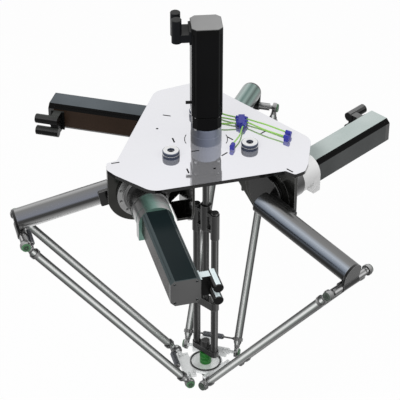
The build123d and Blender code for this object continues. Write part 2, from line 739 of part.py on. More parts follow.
def shaft_collar():
    """Guide at the shaft's lower end that the guide rods slide through."""
    low = PLATE_TOP - COLLAR_DEPTH - COLLAR_HEIGHT
    collar = Pos(0, 0, low) * guide_link(GUIDE_ROD_RADIUS + COLLAR_WALL, COLLAR_HEIGHT)
    collar = collar - barrel(WRIST_SHAFT_RADIUS + SEAT_GAP, low, low + COLLAR_HEIGHT)
    for place in GUIDE_PLACES:
        collar = collar - place * barrel(GUIDE_ROD_RADIUS + SLIDE_GAP, low, low + COLLAR_HEIGHT)
    return [collar]


def sliding_bracket():
    """Carriage that holds the guide rods' tops and slides on the shaft."""
    top = PLATE_TOP - BRACKET_TOP
    middle = barrel(WRIST_SHAFT_RADIUS + BRACKET_BORE_WALL, top - BRACKET_SLEEVE, top)
    sleeve_low = top - BRACKET_SLEEVE - BRACKET_STAGGER
    sleeves = [
        place * barrel(GUIDE_ROD_RADIUS + COLLAR_WALL, sleeve_low, top - BRACKET_STAGGER)
        for place in GUIDE_PLACES
    ]
    webs = [
        Pos(0, 0, height) * guide_link(GUIDE_ROD_RADIUS + 1, BRACKET_WEB)
        for height in (top - BRACKET_STAGGER - BRACKET_WEB, top - BRACKET_SLEEVE)
    ]
    body = whole([middle, *sleeves, *webs])
    body = body - barrel(WRIST_SHAFT_RADIUS + SLIDE_GAP, sleeve_low, top)
    for place in GUIDE_PLACES:
        body = body - place * barrel(GUIDE_ROD_RADIUS + SEAT_GAP, sleeve_low, top)
    return [body]


YOKE_TOP = PLATFORM_TOP + YOKE_TOP_ABOVE
YOKE_LOW = YOKE_TOP - YOKE_HEIGHT
JOINT_TOP = PLATFORM_TOP + JOINT_ABOVE
JOINT_LOW = PLATFORM_BOTTOM - JOINT_BELOW


def guide_rods():
    rod = barrel(GUIDE_ROD_RADIUS, YOKE_LOW, PLATE_TOP - GUIDE_ROD_TOP)
    return [place * rod for place in GUIDE_PLACES]


def tool_yoke():
    """Yoke that clamps the guide rods and drives the tool spindle."""
    link = Pos(0, 0, YOKE_LOW) * guide_link(GUIDE_ROD_RADIUS + COLLAR_WALL, YOKE_HEIGHT)
    for place in GUIDE_PLACES:
        link = link - place * barrel(GUIDE_ROD_RADIUS + SEAT_GAP, YOKE_LOW, YOKE_TOP)
    hub = turned([
        (0, YOKE_TOP),
        (SPINDLE_RADIUS + 7, YOKE_TOP),
        (SPINDLE_RADIUS + 5, YOKE_TOP + 24),
        (0, YOKE_TOP + 24),
    ])
    spindle = barrel(SPINDLE_RADIUS, JOINT_LOW - RUNNING_GAP, YOKE_LOW)
    low = JOINT_LOW - RUNNING_GAP
    flange = turned([
        (0, low),
        (TOOL_FLANGE_RADIUS, low),
        (TOOL_FLANGE_RADIUS, low - 10),
        (SPINDLE_RADIUS + 1, low - 14),
        (SPINDLE_RADIUS + 1, low - TOOL_FLANGE_DROP),
        (0, low - TOOL_FLANGE_DROP),
    ])
    bore = barrel(TOOL_BORE, low - TOOL_FLANGE_DROP, low - TOOL_FLANGE_DROP / 3)
    return [whole([link, hub, spindle, flange]) - bore]


def rotary_joint():
    """Grooved housing that feeds air and power to the turning tool."""
    span = JOINT_TOP - JOINT_LOW
    points = [(SPINDLE_RADIUS + SLIDE_GAP, JOINT_TOP), (JOINT_RADIUS, JOINT_TOP)]
    for share in (0.2, 0.36):
        height = JOINT_TOP - share * span
        points += [
            (JOINT_RADIUS, height + 2),
            (JOINT_RADIUS - JOINT_GROOVE, height + 1),
            (JOINT_RADIUS - JOINT_GROOVE, height - 1),
            (JOINT_RADIUS, height - 2),
        ]
    points += [
        (JOINT_RADIUS, PLATFORM_TOP),
        (JOINT_RADIUS, JOINT_LOW),
        (SPINDLE_RADIUS + SLIDE_GAP, JOINT_LOW),
    ]
    return [turned(points)]


def platform_plate():
    """Tool platform: three bars with ball studs round a hub, and a tongue."""
    outline = Circle(PLATFORM_HUB)
    bar = Pos(STUD_X - PLATFORM_BAR_SET_IN, 0) * Rectangle(PLATFORM_BAR_WIDTH, 2 * PLATFORM_BAR_HALF)
    web = Pos(STUD_X / 2, 0) * Rectangle(STUD_X, 2 * PLATFORM_WEB_HALF)
    studs = []
    holes = []
    ball = SOCKET_RADIUS - OPEN_PIVOT_GAP
    for azimuth in ARM_AZIMUTHS.values():
        turn = Rot(0, 0, azimuth)
        outline = outline + turn * bar + turn * web
        for side in (-1, 1):
            low = STUD_BOSS_END - STUD_BOSS_LENGTH
            boss = across(barrel(STUD_BOSS_RADIUS, low, STUD_BOSS_END), 0)
            pin = across(barrel(STUD_RADIUS, low, ROD_Y), 0)
            stud = boss + pin + Pos(0, ROD_Y, 0) * Sphere(ball)
            if side < 0:
                stud = mirror(stud, Plane.XZ)
            studs.append(turn * Pos(STUD_X, 0, STUD_Z) * stud)
            hole = Rot(0, 0, side * LUG_HOLE_ANGLE) * Pos(LUG_HOLE_CIRCLE, 0, 0)
            holes.append(turn * hole * barrel(LUG_HOLE_RADIUS, PLATFORM_BOTTOM, PLATFORM_TOP))
    back = Rot(0, 0, ARM_AZIMUTHS["c"]) * Pos(*TONGUE_PLACE, 0)
    tip = back * Circle(TONGUE_RADIUS)
    root = Circle(TONGUE_RADIUS)
    outline = outline + make_hull([*tip.edges(), *root.edges()])
    plate = Pos(0, 0, PLATFORM_BOTTOM) * extrude(outline, PLATFORM_THICKNESS)
    plate = whole([plate, *studs])
    plate = plate - barrel(JOINT_RADIUS + SEAT_GAP, PLATFORM_BOTTOM, PLATFORM_TOP)
    plate = plate - back * barrel(TONGUE_HOLE, PLATFORM_BOTTOM, PLATFORM_TOP)
    for hole in holes:
        plate = plate - hole
    return [plate]


def tool_ring():
    """Thin seal ring on the platform's top face."""
    ring = barrel(TOOL_RING_OUTER, PLATFORM_TOP, PLATFORM_TOP + TOOL_RING_HEIGHT)
    return [ring - barrel(TOOL_RING_INNER, PLATFORM_TOP, PLATFORM_TOP + TOOL_RING_HEIGHT)]


def fitting(start, heading):
    """Push-in fitting lying on the plate, its mouth towards a heading."""
    place = Pos(*start, PLATE_TOP + AIR_HEIGHT) * Rot(0, 0, heading) * ALONG_ARM
    body = barrel(FITTING_RADIUS, 0, FITTING_LENGTH)
    return place * body


# Air tubes as start, end and the sideways bow of their middle, in plan
AIR_RUNS = {
    "right_back": ((130, 98), (250, 22), 3),
    "right_front": ((130, 78), (244, -4), -4),
    "left_back": ((96, 107), (30, 146), 4),
    "left_middle": ((96, 90), (22, 110), -3),
    "left_front": ((96, 73), (26, 74), 3),
    "elbow_drop": ((116, 55), (84, -46), 5),
}


def run_heading(start, end):
    return degrees(atan2(end[1] - start[1], end[0] - start[0]))


def air_manifold():
    """Distributor block, its fittings and the fittings at the tubes' far ends."""
    height = AIR_HEIGHT + FITTING_RADIUS
    x, y = MANIFOLD_CENTRE
    half_x, half_y = MANIFOLD_SIZE[0] / 2, MANIFOLD_SIZE[1] / 2
    blockage = block((x - half_x, y - half_y, PLATE_TOP), (x + half_x, y + half_y, PLATE_TOP + height))
    pieces = [blockage]
    for start, end, _ in AIR_RUNS.values():
        heading = run_heading(start, end)
        near = fitting(start, heading + 180)
        far = fitting(end, heading)
        foot = block(
            (-FITTING_RADIUS, -FITTING_RADIUS, -AIR_HEIGHT),
            (FITTING_RADIUS, FITTING_RADIUS, 0),
        )
        base = Pos(*end, PLATE_TOP + AIR_HEIGHT) * Rot(0, 0, heading) * Pos(FITTING_LENGTH / 2, 0, 0) * foot
        pieces[0] = pieces[0] + near
        pieces.append(far + base)
    return pieces


def air_tubes():
    tubes = []
    for start, end, bow in AIR_RUNS.values():
        heading = run_heading(start, end)
        span = hypot(end[0] - start[0], end[1] - start[1])
        route = Spline((0, 0, 0), (span / 2, bow, 0), (span, 0, 0), tangents=[(1, 0, 0), (1, 0, 0)])
        tube = sweep(Plane.YZ * Circle(AIR_TUBE_RADIUS), route)
        tubes.append(Pos(*start, PLATE_TOP + AIR_HEIGHT) * Rot(0, 0, heading) * tube)
    return tubes


COMMON_PARTS = {
    "base_plate": base_plate,
    "standoffs": standoffs,
    "wrist_gearbox": wrist_gearbox,
    "wrist_flange": wrist_flange,
    "wrist_motor": wrist_motor,
    "wrist_motor_cap": wrist_motor_cap,
    "wrist_motor_plugs": wrist_motor_plugs,
    "wrist_shaft": wrist_shaft,
    "shaft_collar": shaft_collar,
    "sliding_bracket": sliding_bracket,
    "guide_rods": guide_rods,
    "tool_yoke": tool_yoke,
    "rotary_joint": rotary_joint,
    "platform_plate": platform_plate,
    "tool_ring": tool_ring,
    "air_manifold": air_manifold,
    "air_tubes": air_tubes,
}

ARM_PARTS = {
    "bracket": bracket,
    "gearbox": gearbox,
    "motor_adapter": motor_adapter,
    "motor": arm_motor,
    "motor_cap": arm_motor_cap,
    "motor_plugs": arm_motor_plugs,
    "arm_hub": arm_hub,
    "upper_arm_tube": upper_arm_tube,
    "elbow_end_plate": elbow_end_plate,
    "elbow_cross_shaft": elbow_cross_shaft,
    "forearm_rods": forearm_rods,
    "socket_shells": socket_shells,
    "socket_caps": socket_caps,
    "rod_springs": rod_springs,
}


def main():
    os.makedirs("parts", exist_ok=True)
    for name, make in COMMON_PARTS.items():
        save(name, make())
    for name, make in ARM_PARTS.items():
        pieces = make()
        for arm, azimuth in ARM_AZIMUTHS.items():
            save(f"{name}_{arm}", [Rot(0, 0, azimuth) * piece for piece in pieces])


if __name__ == "__main__":
    main()
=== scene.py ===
import json
import math

import bmesh
import bpy
from bpy.props import FloatProperty, FloatVectorProperty, PointerProperty
from mathutils import Matrix, Vector
from mathutils.geometry import tessellate_polygon


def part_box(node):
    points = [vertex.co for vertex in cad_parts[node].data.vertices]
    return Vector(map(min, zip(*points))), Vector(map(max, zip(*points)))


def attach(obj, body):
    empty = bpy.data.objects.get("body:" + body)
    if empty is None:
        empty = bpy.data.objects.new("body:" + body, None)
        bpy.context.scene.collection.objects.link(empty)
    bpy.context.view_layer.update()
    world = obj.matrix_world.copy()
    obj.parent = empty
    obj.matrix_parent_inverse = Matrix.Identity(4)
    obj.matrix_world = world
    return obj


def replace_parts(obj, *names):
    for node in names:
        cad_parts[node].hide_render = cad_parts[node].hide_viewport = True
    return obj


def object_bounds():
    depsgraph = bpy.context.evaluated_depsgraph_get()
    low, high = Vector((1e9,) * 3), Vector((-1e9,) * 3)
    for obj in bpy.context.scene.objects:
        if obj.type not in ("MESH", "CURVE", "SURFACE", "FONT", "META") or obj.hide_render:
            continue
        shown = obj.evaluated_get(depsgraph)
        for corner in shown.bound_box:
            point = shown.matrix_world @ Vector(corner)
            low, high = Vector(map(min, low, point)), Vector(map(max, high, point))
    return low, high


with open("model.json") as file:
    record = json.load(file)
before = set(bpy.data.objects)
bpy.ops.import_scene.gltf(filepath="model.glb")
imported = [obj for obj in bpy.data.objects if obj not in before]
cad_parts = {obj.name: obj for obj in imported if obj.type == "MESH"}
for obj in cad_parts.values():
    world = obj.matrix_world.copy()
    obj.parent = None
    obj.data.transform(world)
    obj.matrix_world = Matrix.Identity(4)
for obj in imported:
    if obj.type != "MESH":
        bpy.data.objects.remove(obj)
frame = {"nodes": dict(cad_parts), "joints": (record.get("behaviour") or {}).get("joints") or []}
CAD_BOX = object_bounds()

bl_info = {
    "name": "Delta robot finishes",
    "version": (1, 0, 0),
    "blender": (4, 5, 0),
    "location": "View3D > Sidebar > Delta robot",
    "description": "Finishes, small fittings, camera and studio for a ceiling-hung delta robot",
    "category": "Object",
}

NODES = frame["nodes"]
JOINTS = {joint["name"]: joint for joint in frame["joints"]}
UP = Vector((0, 0, 1))

# Tilt of the camera up from straight down, and the direction from the robot to it
CAMERA_TILT = math.radians(54.74)
VIEW_SIDE = Vector((0.0, -math.sin(CAMERA_TILT), math.cos(CAMERA_TILT)))


# The three arms


class Arm:
    """Directions, shoulder and elbow of one arm at rest, as the frame gives them."""

    def __init__(self, letter):
        self.letter = letter
        self.sideways = Vector(JOINTS[f"shoulder_{letter}"]["axis"])
        self.outward = self.sideways.cross(UP)
        self.shoulder = Vector(JOINTS[f"shoulder_{letter}"]["pos_m"])
        self.elbow = Vector(JOINTS[f"elbow_{letter}"]["pos_m"])


ARMS = [Arm(letter) for letter in "abc"]


def across_of(axis):
    """The upward direction square to an axis and to the line of sight."""
    side = Vector(axis).cross(VIEW_SIDE)
    side.normalize()
    return side if side.z >= 0 else -side


# Colours and shader nodes


def tone(red, green=None, blue=None):
    """Linear colour of an eight-bit screen colour; one number makes a grey."""
    screen = (red, red, red) if green is None else (red, green, blue)
    scaled = [value / 255 for value in screen]
    return tuple(v / 12.92 if v <= 0.04045 else ((v + 0.055) / 1.055) ** 2.4 for v in scaled)


def tones(*colours):
    """Evenly spaced stops of any colour."""
    last = len(colours) - 1
    return [(index / last, tone(*colour)) for index, colour in enumerate(colours)]


def greys(*levels):
    """Evenly spaced grey stops."""
    return tones(*((level,) for level in levels))


def opaque(colour):
    """A colour with full alpha, as a shader socket takes it; a socket stays as it is."""
    return colour if isinstance(colour, bpy.types.NodeSocket) else (*colour[:3], 1.0)


def add(tree, kind, inputs=None, **settings):
    """Add a shader node, set its properties, then fill or link its inputs."""
    made = tree.nodes.new(kind)
    for key, value in settings.items():
        setattr(made, key, value)
    for key, value in (inputs or {}).items():
        if isinstance(value, bpy.types.NodeSocket):
            tree.links.new(value, made.inputs[key])
        else:
            made.inputs[key].default_value = value
    return made


def maths(tree, operation, first, second):
    """Result of one sum on two values."""
    return add(tree, "ShaderNodeMath", {0: first, 1: second}, operation=operation).outputs[0]


def ramp(tree, factor, stops, steps=False):
    """A colour ramp from a list of place and colour, smooth or in steps."""
    made = add(tree, "ShaderNodeValToRGB", {"Fac": factor})
    made.color_ramp.interpolation = "CONSTANT" if steps else "LINEAR"
    elements = made.color_ramp.elements
    while len(elements) > 1:
        elements.remove(elements[-1])
    elements[0].position = stops[0][0]
    elements[0].color = opaque(stops[0][1])
    for place, colour in stops[1:]:
        elements.new(place).color = opaque(colour)
    return made.outputs["Color"]


def mixed(tree, factor, first, second, blend="MIX"):
    """Second colour laid over the first by a factor."""
    inputs = {0: factor, 6: opaque(first), 7: opaque(second)}
    return add(tree, "ShaderNodeMix", inputs, data_type="RGBA", blend_type=blend).outputs[2]


# Shared effects as node groups


def new_group(name, inputs, outputs):
    """An empty node group with its sockets, its input node and its output node."""
    group = bpy.data.node_groups.new(name, "ShaderNodeTree")
    for label, kind, default in inputs:
        socket = group.interface.new_socket(label, in_out="INPUT", socket_type=kind)
        socket.default_value = default
    for label in outputs:
        group.interface.new_socket(label, in_out="OUTPUT", socket_type="NodeSocketFloat")
    return group, group.nodes.new("NodeGroupInput"), group.nodes.new("NodeGroupOutput")


def dot_product(tree, first, second):
    """How far two directions agree, from -1 to 1."""
    inputs = {0: first, 1: second}
    return add(tree, "ShaderNodeVectorMath", inputs, operation="DOT_PRODUCT").outputs["Value"]


def reflection_band_group():
    """Place across a round surface for painted reflection bands, 0 on the side that faces Across and
    1 on the far side.
    """
    group, into, out = new_group(
        "Painted reflection bands",
        [
            ("Across", "NodeSocketVector", (0, 0, 1)),
            ("Waver", "NodeSocketFloat", 0.02),
            ("Waver Scale", "NodeSocketFloat", 14.0),
        ],
        ["Band"],
    )
    where = group.nodes.new("ShaderNodeTexCoord")
    facing = dot_product(group, where.outputs["Normal"], into.outputs["Across"])
    noise = add(
        group,
        "ShaderNodeTexNoise",
        {"Vector": where.outputs["Object"], "Scale": into.outputs["Waver Scale"], "Detail": 1.0},
    )
    centred = maths(group, "SUBTRACT", noise.outputs["Fac"], 0.5)
    drift = maths(group, "MULTIPLY", centred, into.outputs["Waver"])
    even = maths(group, "ADD", maths(group, "MULTIPLY", facing, -0.5), 0.5)
    group.links.new(maths(group, "ADD", even, drift), out.inputs["Band"])
    return group


def grain_group():
    """Fine machining grain as a value round 0 and a height."""
    group, into, out = new_group(
        "Machining grain",
        [("Scale", "NodeSocketFloat", 300.0), ("Amount", "NodeSocketFloat", 0.1)],
        ["Grain", "Height"],
    )
    where = group.nodes.new("ShaderNodeTexCoord")
    fine = add(
        group,
        "ShaderNodeTexNoise",
        {"Vector": where.outputs["Object"], "Scale": into.outputs["Scale"], "Detail": 3.0},
    )
    centred = maths(group, "SUBTRACT", fine.outputs["Fac"], 0.5)
    grain = maths(group, "MULTIPLY", centred, into.outputs["Amount"])
    group.links.new(grain, out.inputs["Grain"])
    group.links.new(fine.outputs["Fac"], out.inputs["Height"])
    return group


def edge_highlight_group():
    """Mask of the narrow painted highlights along machined edges."""
    group, into, out = new_group(
        "Painted edge highlights",
        [("Width", "NodeSocketFloat", 0.0015), ("Sharpness", "NodeSocketFloat", 8.0)],
        ["Edge"],
    )
    rounded = add(group, "ShaderNodeBevel", {"Radius": into.outputs["Width"]}, samples=6)
    plain = group.nodes.new("ShaderNodeNewGeometry")
    facing = dot_product(group, rounded.outputs["Normal"], plain.outputs["Normal"])
    turned = maths(group, "SUBTRACT", 1.0, facing)
    sharp = maths(group, "MULTIPLY", turned, into.outputs["Sharpness"])
    limited = add(group, "ShaderNodeClamp", {"Value": sharp}).outputs["Result"]
    group.links.new(limited, out.inputs["Edge"])
    return group


GROUPS = {}


def effect(tree, maker, inputs=None):
    """Place a shared effect in a material; its first use builds the group."""
    if maker not in GROUPS:
        GROUPS[maker] = maker()
    return add(tree, "ShaderNodeGroup", inputs, node_tree=GROUPS[maker]).outputs


# Finishes

# Height of the grain's bumps, in metres
GRAIN_HEIGHT = 0.0004

# Places of a housing's bottom, sides, bevels and top for its painted reflections, on a scale from
# facing down to facing up
FACE_PLACES = (0.0, 0.3, 0.75, 0.94)
# Roughness and specular level of the housings, and the share of random streaks laid over their
# painted reflections
HOUSING_ROUGHNESS = 0.25
HOUSING_SPECULAR = 0.06
HOUSING_STREAKS = 0.35


class Finish:
    """A material under construction, with its Principled shader."""

    def __init__(self, name, metallic, roughness):
        self.material = bpy.data.materials.new(name)
        self.material.use_nodes = True
        self.tree = self.material.node_tree
        self.shader = self.tree.nodes["Principled BSDF"]
        self.shader.inputs["Metallic"].default_value = metallic
        self.shader.inputs["Roughness"].default_value = roughness

    def colour(self, socket):
        """Use a colour as the surface's own."""
        self.tree.links.new(socket, self.shader.inputs["Base Color"])

    def clouds(self, scale):
        """Slow changes over the surface, as a value from 0 to 1."""
        where = self.tree.nodes.new("ShaderNodeTexCoord")
        inputs = {"Vector": where.outputs["Object"], "Scale": scale, "Detail": 2.0}
        return add(self.tree, "ShaderNodeTexNoise", inputs).outputs["Fac"]

    def facing_up(self):
        """How far the surface faces up, from -1 to 1."""
        where = self.tree.nodes.new("ShaderNodeTexCoord")
        parts = add(self.tree, "ShaderNodeSeparateXYZ", {"Vector": where.outputs["Normal"]})
        return parts.outputs["Z"]

    def edge_highlighted(self, colour, edge, strength):
        """A colour with painted highlights, narrow lines of another one, along the sharp edges."""
        mask = effect(self.tree, edge_highlight_group)["Edge"]
        return mixed(self.tree, maths(self.tree, "MULTIPLY", mask, strength), colour, edge)

    def grain(self, scale=260.0, amount=0.05, bump=0.008):
        """Lift the surface a little with a fine grain, and vary its roughness by the amount."""
        out = effect(self.tree, grain_group, {"Scale": scale, "Amount": amount})
        rough = self.shader.inputs["Roughness"]
        if amount:
            self.tree.links.new(maths(self.tree, "ADD", out["Grain"], rough.default_value), rough)
        inputs = {"Height": out["Height"], "Strength": bump, "Distance": GRAIN_HEIGHT}
        lifted = add(self.tree, "ShaderNodeBump", inputs)
        self.tree.links.new(lifted.outputs["Normal"], self.shader.inputs["Normal"])
        return out["Grain"]


def painted_reflection_metal(name, across, stops, metallic=0.9, roughness=0.22, edge=None, waver=0.02, grain=0.015):
    """Polished metal with painted reflections, whose tones run in bands round its axis."""
    finish = Finish(name, metallic, roughness)
    tree = finish.tree
    band = effect(tree, reflection_band_group, {"Across": across, "Waver": waver})["Band"]
    colour = ramp(tree, band, stops)
    fine = finish.grain(amount=grain, bump=0.002)
    colour = mixed(tree, maths(tree, "ADD", fine, 0.03), colour, tone(255), "OVERLAY")
    # Painted highlights along the edges, when an edge tone is given
    if edge:
        colour = finish.edge_highlighted(colour, edge, 0.7)
    finish.colour(colour)
    return finish.material


def machined(name, colour, metallic=0.85, roughness=0.3, edge=None, variation=0.12):
    """Plain metal or plastic with a fine grain, slow tone changes and, when an edge tone is given,
    painted highlights along its edges.
    """
    finish = Finish(name, metallic, roughness)
    darker = tuple(channel * (1 - variation) for channel in colour)
    lighter = tuple(min(1.0, channel * (1 + variation)) for channel in colour)
    base = mixed(finish.tree, finish.clouds(9.0), darker, lighter)
    finish.grain(scale=300.0)
    if edge:
        base = finish.edge_highlighted(base, edge, 0.8)
    finish.colour(base)
    return finish.material


def painted_face_tones(name, *faces, metallic=0.0):
    """Glossy housing with painted reflections: its bottom, sides, bevels and top take four different
    tones by the way they face.
    """
    finish = Finish(name, metallic, HOUSING_ROUGHNESS)
    finish.shader.inputs["Specular IOR Level"].default_value = HOUSING_SPECULAR
    tree = finish.tree
    place = maths(tree, "ADD", maths(tree, "MULTIPLY", finish.facing_up(), 0.5), 0.5)
    colour = ramp(tree, place, list(zip(FACE_PLACES, faces)), steps=True)
    # Random lighter and darker streaks over the painted reflections
    shade = ramp(tree, finish.clouds(7.0), [(0.35, tone(96)), (0.65, tone(160))])
    finish.colour(mixed(tree, HOUSING_STREAKS, colour, shade, "OVERLAY"))
    finish.grain(amount=0.03, bump=0.003)
    return finish.material


# Meshes of the scene's own pieces, in metres

# Faces that meet at more than this angle keep a sharp edge
SHARP_ANGLE = math.radians(32)


def ring_faces(rows, steps, closed=False):
    """Side faces between rings of points, also from the last ring to the first if closed."""
    faces = []
    for row in range(rows if closed else rows - 1):
        low, high = row * steps, (row + 1) % rows * steps
        for index in range(steps):
            after = (index + 1) % steps
            faces.append((low + index, low + after, high + after, high + index))
    return faces


def end_faces(rows, steps):
    """Faces that close the first and the last ring of points."""
    return [tuple(range(steps)), tuple((rows - 1) * steps + index for index in range(steps))]


def lathe(profile, place, axis, steps=32, hollow=False):
    """Points and faces of a turned form; the profile runs as radius and height in millimetres."""
    turn = Vector(axis).to_track_quat("Z", "Y").to_matrix().to_4x4()
    matrix = Matrix.Translation(place) @ turn
    points = []
    for radius, height in profile:
        for index in range(steps):
            angle = math.tau * index / steps
            ring = Vector((radius * math.cos(angle), radius * math.sin(angle), height)) / 1000
            points.append(matrix @ ring)
    rows = len(profile)
    faces = ring_faces(rows, steps, closed=hollow)
    if not hollow:
        faces += end_faces(rows, steps)
    return points, faces


def flat(outline, thickness, origin, right, up, hole=()):
    """Points and faces of a plate cut from an outline in millimetres, with one hole if given."""
    right, up = Vector(right), Vector(up)
    through = right.cross(up)
    loops = [[Vector((x, y, 0)) for x, y in loop] for loop in (outline, hole) if loop]
    corners = [corner for loop in loops for corner in loop]
    points = []
    for depth in (0, thickness):
        points += [origin + (right * c.x + up * c.y + through * depth) / 1000 for c in corners]
    count = len(corners)
    faces = []
    for triangle in tessellate_polygon(loops):
        faces.append(tuple(triangle))
        faces.append(tuple(count + index for index in reversed(triangle)))
    start = 0
    for loop in loops:
        for index in range(len(loop)):
            first, second = start + index, start + (index + 1) % len(loop)
            faces.append((first, second, count + second, count + first))
        start += len(loop)
    return points, faces


def arc(first, middle, last, steps=12):
    """Points of the arc through three points."""
    a, b, c = (Vector(point) for point in (first, middle, last))
    d = 2 * (a.x * (b.y - c.y) + b.x * (c.y - a.y) + c.x * (a.y - b.y))
    squares = [point.length_squared for point in (a, b, c)]
    centre = Vector((
        squares[0] * (b.y - c.y) + squares[1] * (c.y - a.y) + squares[2] * (a.y - b.y),
        squares[0] * (c.x - b.x) + squares[1] * (a.x - c.x) + squares[2] * (b.x - a.x),
    )) / d
    start, way, end = (math.atan2(p.y - centre.y, p.x - centre.x) for p in (a, b, c))
    span = (end - start) % math.tau
    if (way - start) % math.tau > span:
        span -= math.tau
    radius = (a - centre).length
    angles = [start + span * index / steps for index in range(steps + 1)]
    return [(centre.x + radius * math.cos(t), centre.y + radius * math.sin(t)) for t in angles]


def circle(x, y, radius, steps=48):
    """Points of a circle round a point."""
    angles = [math.tau * index / steps for index in range(steps)]
    return [(x + radius * math.cos(t), y + radius * math.sin(t)) for t in angles]


def hose(start, end, bow, radius, pieces=16, steps=14):
    """Points and faces of a bowed air tube between two fittings, in metres."""
    run = end - start
    sideways = UP.cross(run).normalized()
    points = []
    for row in range(pieces + 1):
        share = row / pieces
        middle = start + run * share + sideways * bow * math.sin(math.pi * share) ** 2
        for index in range(steps):
            angle = math.tau * index / steps
            points.append(middle + radius * (sideways * math.cos(angle) + UP * math.sin(angle)))
    return points, ring_faces(pieces + 1, steps) + end_faces(pieces + 1, steps)


def piece(name, body, slot, material, *forms):
    """One object from several meshed forms, riding on a body."""
    points, faces = [], []
    for form_points, form_faces in forms:
        start = len(points)
        points += form_points
        faces += [tuple(start + index for index in face) for face in form_faces]
    mesh = bpy.data.meshes.new(name)
    mesh.from_pydata(points, [], faces)
    shaped = bmesh.new()
    shaped.from_mesh(mesh)
    bmesh.ops.recalc_face_normals(shaped, faces=shaped.faces)
    shaped.to_mesh(mesh)
    shaped.free()
    mesh.shade_smooth()
    mesh.set_sharp_from_angle(angle=SHARP_ANGLE)
    mesh.materials.append(material)
    made = bpy.data.objects.new(name, mesh)
    bpy.context.scene.collection.objects.link(made)
    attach(made, body)
    return made


def dress(material, *names):
    """Give a finish to CAD nodes."""
    for name in names:
        slots = NODES[name].data.materials
        slots.clear()
        slots.append(material)


# Camera and studio

SENSOR_WIDTH = 36.0
KEY_PLACE = Vector((-2.2, -3.4, 3.4))
FILL_PLACE = Vector((3.4, -1.6, 2.6))

# Share of plain white in the floor as it is seen; the rest takes the robot's shadow
FLOOR_WHITE = 0.93


class RobotCamera(bpy.types.PropertyGroup):
    """Place, direction and lens of the camera"""

    place: FloatVectorProperty(
        name="Place", description="Camera position", default=(-0.0276, -4.5184, 2.9403), unit="LENGTH"
    )
    tilt: FloatProperty(
        name="Tilt", description="Angle up from straight down", default=CAMERA_TILT, unit="ROTATION"
    )
    pan: FloatProperty(
        name="Pan", description="Turn about the vertical", default=math.radians(-0.11),
        unit="ROTATION",
    )
    lens: FloatProperty(name="Lens", description="Focal length in millimetres", default=155.6)


class RobotStudio(bpy.types.PropertyGroup):
    """Lights and floor"""

    ambient: FloatProperty(
        name="Ambient", description="Strength of the even studio light", default=0.62
    )
    key_power: FloatProperty(
        name="Key", description="Power of the large front lamp", default=150.0, unit="POWER"
    )
    fill_power: FloatProperty(
        name="Fill", description="Power of the side lamp", default=60.0, unit="POWER"
    )
    lamp_size: FloatProperty(
        name="Lamp size", description="Side of the square lamps", default=3.0, unit="LENGTH"
    )
    floor_drop: FloatProperty(
        name="Floor drop", description="Distance from the tool down to the floor", default=0.35,
        unit="LENGTH",
    )
    floor_size: FloatProperty(
        name="Floor size", description="Side of the floor", default=60.0, unit="LENGTH"
    )
    floor_tone: FloatVectorProperty(
        name="Floor", description="Colour of the floor", default=tone(250), subtype="COLOR"
    )


def place_camera(scene):
    """Camera that sees the robot as the picture does."""
    settings = scene.robot_camera
    data = bpy.data.cameras.new("photo_camera")
    data.lens = settings.lens
    data.sensor_width = SENSOR_WIDTH
    camera = bpy.data.objects.new("photo_camera", data)
    scene.collection.objects.link(camera)
    camera.location = settings.place
    camera.rotation_euler = (settings.tilt, 0.0, settings.pan)
    scene.camera = camera
    scene.view_settings.view_transform = "Standard"


def looked_at(tree):
    """1 where the eye looks, straight, by a mirror or through glass, and 0 for plain light."""
    path = tree.nodes.new("ShaderNodeLightPath")
    seen = maths(tree, "MAXIMUM", path.outputs["Is Camera Ray"], path.outputs["Is Glossy Ray"])
    return maths(tree, "MAXIMUM", seen, path.outputs["Is Transmission Ray"])


def light_world(scene, ambient):
    """Surroundings that look white and give an even light of their own strength."""
    world = bpy.data.worlds.new("studio_surroundings")
    scene.world = world
    world.use_nodes = True
    tree = world.node_tree
    tree.nodes.clear()
    white = opaque(tone(255))
    even = add(tree, "ShaderNodeBackground", {"Color": white, "Strength": ambient}).outputs[0]
    shown = add(tree, "ShaderNodeBackground", {"Color": white, "Strength": 1.0}).outputs[0]
    both = add(tree, "ShaderNodeMixShader", {0: looked_at(tree), 1: even, 2: shown})
    add(tree, "ShaderNodeOutputWorld", {"Surface": both.outputs[0]})


def soft_lamp(name, place, target, power, size):
    """Square lamp that points at a target and leaves no reflection of itself."""
    data = bpy.data.lights.new(name, "AREA")
    data.energy = power
    data.size = size
    lamp = bpy.data.objects.new(name, data)
    bpy.context.scene.collection.objects.link(lamp)
    lamp.location = place
    lamp.rotation_euler = (target - place).to_track_quat("-Z", "Y").to_euler()
    lamp.visible_glossy = False


def floor(settings, height):
    """White floor that keeps a faint shadow."""
    half = settings.floor_size / 2
    mesh = bpy.data.meshes.new("floor")
    corners = [(x * half, y * half, height) for x, y in ((-1, -1), (1, -1), (1, 1), (-1, 1))]
    mesh.from_pydata(corners, [], [(0, 1, 2, 3)])
    plane = bpy.data.objects.new("floor", mesh)
    bpy.context.scene.collection.objects.link(plane)
    material = bpy.data.materials.new("studio_floor")
    material.use_nodes = True
    tree = material.node_tree
    tree.nodes.clear()
    share = maths(tree, "MULTIPLY", looked_at(tree), FLOOR_WHITE)
    matt = add(tree, "ShaderNodeBsdfDiffuse", {"Color": opaque(settings.floor_tone)}).outputs[0]
    glow = add(tree, "ShaderNodeEmission", {"Color": opaque(tone(255)), "Strength": 1.0}).outputs[0]
    both = add(tree, "ShaderNodeMixShader", {0: share, 1: matt, 2: glow})
    add(tree, "ShaderNodeOutputMaterial", {"Surface": both.outputs[0]})
    mesh.materials.append(material)


